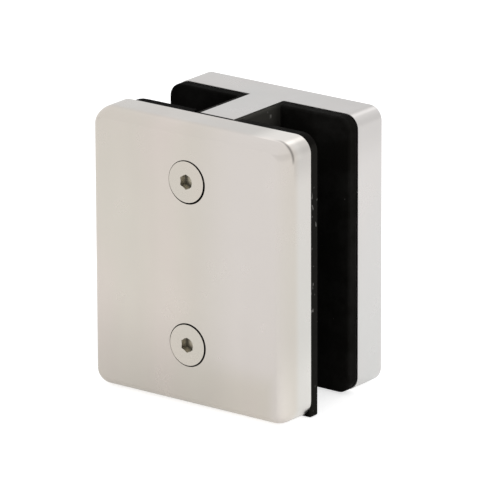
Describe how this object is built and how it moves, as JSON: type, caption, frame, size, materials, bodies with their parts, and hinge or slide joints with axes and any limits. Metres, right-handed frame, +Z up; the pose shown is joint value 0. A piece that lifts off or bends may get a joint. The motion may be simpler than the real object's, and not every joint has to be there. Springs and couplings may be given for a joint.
{
  "type": "glass panel clamp",
  "caption": "Rectangular stainless clamp that grips a glass panel on each side of a central web, between rubber linings, with a front plate held by countersunk screws.",
  "frame": {"origin": "bottom centre of the bounding box", "axes": "+Z up the clamp, -Y out of the front plate with the screws, +X across the two glass slots"},
  "size_m": [0.0454, 0.0334, 0.055],
  "materials": {
    "rear_metal": "satin stainless",
    "front_metal": "satin stainless",
    "screw_metal": "turned stainless",
    "lining": "matt black rubber"
  },
  "bodies": {
    "rear": {"rear_body": "rear_metal", "left_liner": "lining", "right_liner": "lining"},
    "front": {"front_plate": "front_metal", "left_pad": "lining", "right_pad": "lining"},
    "upper_screw": {"upper_screw": "screw_metal"},
    "lower_screw": {"lower_screw": "screw_metal"}
  },
  "joints": [
    {"name": "front_plate_slide", "type": "slide", "parent": "rear", "child": "front", "axis": [0, -1, 0], "range_m": [-0.0003, 0.008]},
    {"name": "upper_screw_turn", "type": "hinge", "parent": "front", "child": "upper_screw", "pos_m": [0, -0.01665, 0.0442], "axis": [0, -1, 0], "range_deg": [-155, 4120]},
    {"name": "lower_screw_turn", "type": "hinge", "parent": "front", "child": "lower_screw", "pos_m": [0, -0.01665, 0.0122], "axis": [0, -1, 0], "range_deg": [-155, 4120]}
  ],
  "couplings": [
    {"joint": "upper_screw_turn", "follows": "front_plate_slide", "rad_per_m": 8976},
    {"joint": "lower_screw_turn", "follows": "front_plate_slide", "rad_per_m": 8976}
  ]
}
